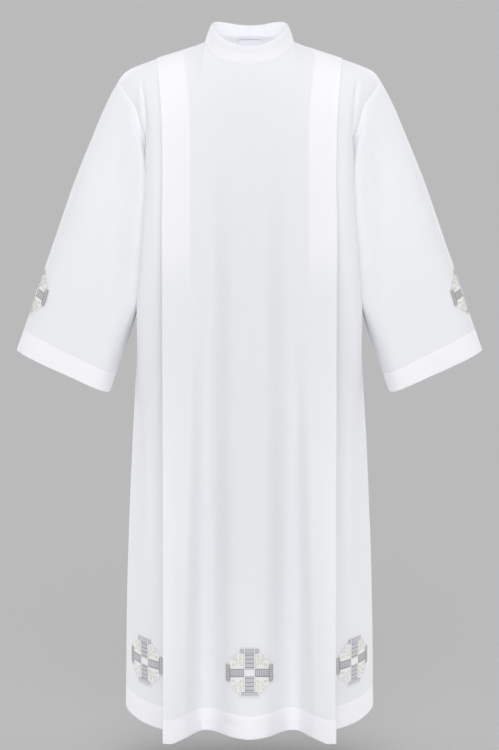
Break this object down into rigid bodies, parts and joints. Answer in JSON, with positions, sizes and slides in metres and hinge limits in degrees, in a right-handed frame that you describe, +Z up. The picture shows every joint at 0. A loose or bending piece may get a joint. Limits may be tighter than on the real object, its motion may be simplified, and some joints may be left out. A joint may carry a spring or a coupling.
{
  "type": "alb robe",
  "caption": "Long white hollow robe with a low standing collar, wide open sleeves, broad side pleats on the front, a deep hem and embroidered crosses at hem and sleeves.",
  "frame": {"origin": "middle of the neck base, level with the neck end of the shoulder seams, where the wearer holds the robe up", "axes": "+Z up, -Y towards the robe's front, +X towards the wearer's left"},
  "size_m": [0.912, 0.3573, 1.3676],
  "materials": {
    "white_cloth": "plain weave, matt white",
    "silver_embroidery": "silver-grey and off-white embroidery thread with a low sheen",
    "woven_label": "smooth woven tape, matt"
  },
  "bodies": {
    "root": {"front": "white_cloth", "back": "white_cloth", "sleeve_left": "white_cloth", "sleeve_right": "white_cloth", "collar": "white_cloth", "shoulder_placket": "white_cloth", "cross_hem_centre": "silver_embroidery", "cross_hem_left": "silver_embroidery", "cross_hem_right": "silver_embroidery", "cross_sleeve_left": "silver_embroidery", "cross_sleeve_right": "silver_embroidery", "neck_label": "woven_label", "care_label": "woven_label"}
  },
  "joints": []
}
